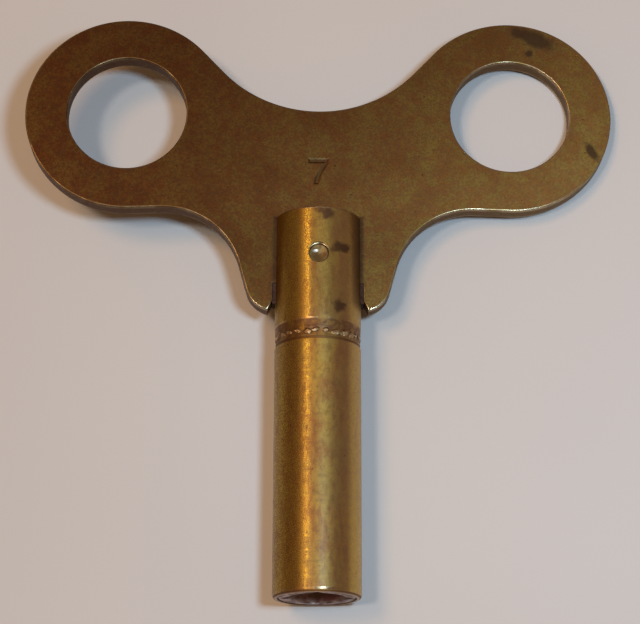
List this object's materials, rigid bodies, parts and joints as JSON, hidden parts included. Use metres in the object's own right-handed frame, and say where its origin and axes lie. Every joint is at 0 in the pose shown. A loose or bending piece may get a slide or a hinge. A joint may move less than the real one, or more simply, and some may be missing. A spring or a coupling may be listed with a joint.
{
  "type": "clock winding key",
  "caption": "Double-ring winding key: a flat brass bow riveted across a slotted brass barrel with a crimped steel bush that holds a square socket.",
  "frame": {"origin": "centre of the socket's mouth, on the barrel's axis", "axes": "-Y out of the socket's mouth, +Y along the barrel towards the bow, X across the two finger rings, +Z out of the bow's front face"},
  "size_m": [0.0496, 0.0498, 0.0072],
  "materials": {
    "bow_brass": "dark tarnish with worn edges",
    "barrel_brass": "rubbed, patchy tarnish",
    "bush_steel": "dull grey",
    "rivet_brass": "tarnished"
  },
  "bodies": {
    "root": {"bow": "bow_brass", "barrel": "barrel_brass", "socket_bush": "bush_steel", "rivet": "rivet_brass"}
  },
  "joints": []
}
